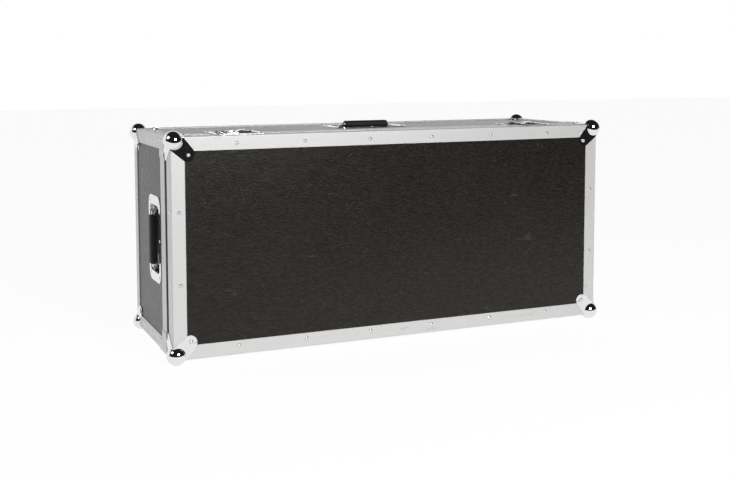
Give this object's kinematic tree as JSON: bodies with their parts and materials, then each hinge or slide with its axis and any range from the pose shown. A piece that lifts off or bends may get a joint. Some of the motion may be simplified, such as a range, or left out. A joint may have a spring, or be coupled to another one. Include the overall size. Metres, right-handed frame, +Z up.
{
  "type": "telescope case",
  "caption": "Long upright transport case with metal-edged panels, ball corners, a shallow lid hinged at the bottom, recessed twist latches, folding handles and a foam cradle.",
  "frame": {"origin": "on the floor under the middle of the case, which stands on its lowest four ball corners", "axes": "+X along the case, +Y from the lid's face towards the back, +Z up"},
  "size_m": [1.086, 0.3758, 0.495],
  "materials": {
    "laminate": "dark textured laminate on plywood",
    "aluminium": "satin anodised, drawn lengthways",
    "chrome_plate": "bright plated steel",
    "zinc_steel": "zinc-plated steel",
    "grip_rubber": "matt black moulded grip",
    "foam": "closed-cell foam, charcoal"
  },
  "bodies": {
    "base": {"base_back_panel": "laminate", "base_top_panel": "laminate", "base_bottom_panel": "laminate", "base_left_panel": "laminate", "base_right_panel": "laminate", "base_back_edges": "aluminium", "base_side_edges": "aluminium", "base_mouth_rail": "aluminium", "base_ball_corners": "chrome_plate", "base_corner_braces": "aluminium", "base_foam_planks": "foam", "base_foam_cradle": "foam", "base_foam_pockets": "foam", "base_foam_fillers": "foam", "left_latch_base_dish": "chrome_plate", "right_latch_base_dish": "chrome_plate", "top_handle_dish": "chrome_plate", "left_handle_dish": "chrome_plate", "right_handle_dish": "chrome_plate", "top_handle_springs": "zinc_steel", "left_handle_springs": "zinc_steel", "right_handle_springs": "zinc_steel", "left_hinge_base_leaf": "chrome_plate", "right_hinge_base_leaf": "chrome_plate", "left_hinge_pin": "zinc_steel", "right_hinge_pin": "zinc_steel"},
    "lid": {"lid_face_panel": "laminate", "lid_top_board": "laminate", "lid_bottom_board": "laminate", "lid_left_board": "laminate", "lid_right_board": "laminate", "lid_face_edges": "aluminium", "lid_side_edges": "aluminium", "lid_mouth_rail": "aluminium", "lid_ball_corners": "chrome_plate", "lid_corner_braces": "aluminium", "lid_foam": "foam", "left_latch_lid_dish": "chrome_plate", "right_latch_lid_dish": "chrome_plate", "left_latch_keeper": "chrome_plate", "right_latch_keeper": "chrome_plate", "left_hinge_lid_leaf": "chrome_plate", "right_hinge_lid_leaf": "chrome_plate"},
    "top_handle": {"top_handle_bail": "zinc_steel", "top_handle_grip": "grip_rubber"},
    "left_handle": {"left_handle_bail": "zinc_steel", "left_handle_grip": "grip_rubber"},
    "right_handle": {"right_handle_bail": "zinc_steel", "right_handle_grip": "grip_rubber"},
    "left_latch_rotor": {"left_latch_rotor": "chrome_plate"},
    "left_latch_wing": {"left_latch_wing": "chrome_plate"},
    "left_latch_hook": {"left_latch_hook": "chrome_plate"},
    "right_latch_rotor": {"right_latch_rotor": "chrome_plate"},
    "right_latch_wing": {"right_latch_wing": "chrome_plate"},
    "right_latch_hook": {"right_latch_hook": "chrome_plate"}
  },
  "joints": [
    {"name": "lid_hinge", "type": "hinge", "parent": "base", "child": "lid", "pos_m": [0, -0.105, 0.0077], "axis": [1, 0, 0], "range_deg": [0, 100]},
    {"name": "top_handle_fold", "type": "hinge", "parent": "base", "child": "top_handle", "pos_m": [0, 0.054, 0.475], "axis": [-1, 0, 0], "range_deg": [0, 70], "stiffness_Nm_per_rad": 0.3, "springref_deg": -28.65},
    {"name": "left_handle_fold", "type": "hinge", "parent": "base", "child": "left_handle", "pos_m": [-0.523, 0.002, 0.249], "axis": [0, 0, -1], "range_deg": [0, 70], "stiffness_Nm_per_rad": 0.3, "springref_deg": -28.65},
    {"name": "right_handle_fold", "type": "hinge", "parent": "base", "child": "right_handle", "pos_m": [0.523, 0.002, 0.249], "axis": [0, 0, 1], "range_deg": [0, 70], "stiffness_Nm_per_rad": 0.3, "springref_deg": -28.65},
    {"name": "left_latch_turn", "type": "hinge", "parent": "base", "child": "left_latch_rotor", "pos_m": [-0.37, -0.093, 0.475], "axis": [0, 0, 1], "range_deg": [0, 180]},
    {"name": "left_latch_wing_fold", "type": "hinge", "parent": "left_latch_rotor", "child": "left_latch_wing", "pos_m": [-0.37, -0.093, 0.4803], "axis": [1, 0, 0], "range_deg": [0, 90]},
    {"name": "left_latch_hook_slide", "type": "slide", "parent": "base", "child": "left_latch_hook", "axis": [0, -1, 0], "range_m": [0, 0.008]},
    {"name": "right_latch_turn", "type": "hinge", "parent": "base", "child": "right_latch_rotor", "pos_m": [0.37, -0.093, 0.475], "axis": [0, 0, 1], "range_deg": [0, 180]},
    {"name": "right_latch_wing_fold", "type": "hinge", "parent": "right_latch_rotor", "child": "right_latch_wing", "pos_m": [0.37, -0.093, 0.4803], "axis": [1, 0, 0], "range_deg": [0, 90]},
    {"name": "right_latch_hook_slide", "type": "slide", "parent": "base", "child": "right_latch_hook", "axis": [0, -1, 0], "range_m": [0, 0.008]}
  ],
  "couplings": [
    {"joint": "left_latch_hook_slide", "follows": "left_latch_turn", "m_per_rad": 0.002546},
    {"joint": "right_latch_hook_slide", "follows": "right_latch_turn", "m_per_rad": 0.002546}
  ]
}
